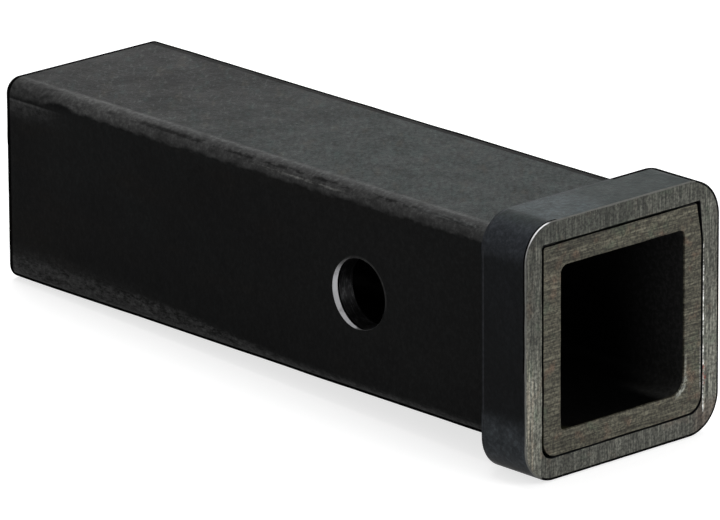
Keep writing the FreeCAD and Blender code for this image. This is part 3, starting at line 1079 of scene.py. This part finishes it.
def weld_surface():
    """A rippled fillet bead round the tube behind the collar."""
    surface = Surface()
    seat = outline(TUBE_HALF - 0.25, (TUBE_CORNER - 0.25,) * 4, **WELD_STEPS)
    outward = outline(TUBE_HALF + 0.75, (TUBE_CORNER + 0.75,) * 4, **WELD_STEPS) - seat
    phase = ripple_phase(seat)
    size = 1.0 + 0.05 * edge_noise(62, len(seat), 0.0, 1.0, 24)
    loops = []
    for step in range(WELD_ARC_STEPS + 1):
        share = step / WELD_ARC_STEPS
        angle = share * math.pi / 2
        part = (phase + 0.75 * math.sin(angle * 2)) % 1.0
        ridge = smooth_step(part, 0.0, 0.22) * (1.0 - 0.9 * smooth_step(part, 0.22, 1.0))
        toe = math.sin(angle * 2) ** 0.6 if 0 < share < 1 else 0.0
        reach = WELD_LEG * size * (0.9 + 0.1 * ridge)
        flat = 1.0 / (math.cos(angle) + math.sin(angle))
        swell = flat * (1.0 + 0.22 * math.sin(angle * 2)) + (0.11 * ridge - 0.03) * toe
        section = seat + outward * (0.25 + reach * swell * math.sin(angle))[:, None]
        loops.append(surface.add(ring(section, COLLAR_BACK + reach * swell * math.cos(angle))))
    root = surface.add(ring(seat, COLLAR_BACK - 0.02))
    foot = surface.add(ring(seat, COLLAR_BACK + WELD_LEG * 0.8))
    crown = surface.add(ring(seat + outward * (WELD_LEG * 0.8), COLLAR_BACK - 0.02))
    surface.join_all(loops + [crown, root, foot, loops[0]], "weld")
    return surface


def make_weld(materials):
    surface = weld_surface()
    piece = surface.make("weld_bead", surface.all_points(), materials, WELD_SHARP_ANGLE)
    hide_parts("collar_weld")
    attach(piece, "root")


# Floor, lamps and camera

FLOOR_GREY = 0.5
FLOOR_GLOW = 0.72
FLOOR_REACH = 0.9
WORLD_LIGHT = 0.45

# Name, place and width in metres, and power in watts.
LAMPS = (
    ("key", (0.25, 0.35, 1.0), 0.9, 9.0),
    ("front", (0.35, -1.0, 0.55), 0.8, 6.0),
    ("back", (0.9, 0.98, 0.46), 0.9, 1.5),
)

CAMERA_PLACE = (-1074.086, -1143.923, 502.343)
CAMERA_FORWARD = (0.645474, 0.700832, -0.30364)
CAMERA_RIGHT = (0.734197, -0.678908, -0.006243)
CAMERA_LENS = 432.5
CAMERA_SENSOR = 36.0
CAMERA_CLIP = (0.1, 20.0)


def seen_directly(builder):
    """1 for what the camera, a reflection or a refraction sees."""
    path = builder.add("LightPath").outputs
    rays = ("Is Camera Ray", "Is Glossy Ray", "Is Transmission Ray")
    return builder.fold("MAXIMUM", [path[ray] for ray in rays])


def floor_material():
    """Pale floor that the camera sees as white, with the object's shadow."""
    material = bpy.data.materials.new("floor_white")
    builder = Builder(material)
    glow = builder.times(seen_directly(builder), FLOOR_GLOW)
    builder.put_all("Principled BSDF", Base_Color=grey(FLOOR_GREY), Roughness=0.9, Specular_IOR_Level=0.0,
                    Emission_Color=grey(1.0), Emission_Strength=glow)
    return material


def make_floor():
    """The part rests on the collar's lower back edge and the tube's lower back edge."""
    front = Vector((0.0, COLLAR_BACK, -COLLAR_HALF)) * MM
    rear = Vector((0.0, BACK, -TUBE_HALF)) * MM
    slope = math.atan2(rear.z - front.z, rear.y - front.y)
    mesh = bpy.data.meshes.new("floor")
    corners = [(x * FLOOR_REACH, y * FLOOR_REACH, 0) for x, y in ((-1, -1), (1, -1), (1, 1), (-1, 1))]
    mesh.from_pydata(corners, [], [(0, 1, 2, 3)])
    mesh.materials.append(floor_material())
    floor = placed("floor", mesh)
    floor.rotation_euler = (slope, 0.0, 0.0)
    floor.location = front


def make_world():
    """White for the camera and for reflections, a plain grey level as light."""
    world = bpy.data.worlds.new("studio")
    bpy.context.scene.world = world
    builder = Builder(world)
    strength = builder.add("MapRange", Value=seen_directly(builder), To_Min=WORLD_LIGHT, To_Max=1.0)
    builder.put_all("Background", Color=grey(1.0), Strength=strength.outputs["Result"])


def make_lamps():
    for name, place, width, power in LAMPS:
        light = bpy.data.lights.new(name, "AREA")
        light.shape = "DISK"
        light.size = width
        light.energy = power
        lamp = placed(name, light)
        lamp.location = place
        lamp.rotation_mode = "QUATERNION"
        lamp.rotation_quaternion = (-Vector(place)).to_track_quat("-Z", "Y")
        lamp.visible_camera = False


def make_camera():
    data = bpy.data.cameras.new("camera")
    data.sensor_fit = "HORIZONTAL"
    data.sensor_width = CAMERA_SENSOR
    data.lens = CAMERA_LENS
    data.clip_start, data.clip_end = CAMERA_CLIP
    camera = placed("camera", data)
    forward = Vector(CAMERA_FORWARD).normalized()
    right = Vector(CAMERA_RIGHT)
    right = (right - forward * right.dot(forward)).normalized()
    turn = Matrix((right, right.cross(forward), -forward)).transposed()
    camera.matrix_world = Matrix.Translation(Vector(CAMERA_PLACE) * MM) @ turn.to_4x4()
    bpy.context.scene.camera = camera


def main():
    bpy.context.scene.view_settings.view_transform = "Standard"
    make_camera()
    make_world()
    make_lamps()
    make_floor()
    materials = make_materials()
    make_tube(materials)
    make_collar(materials)
    make_weld(materials)


main()
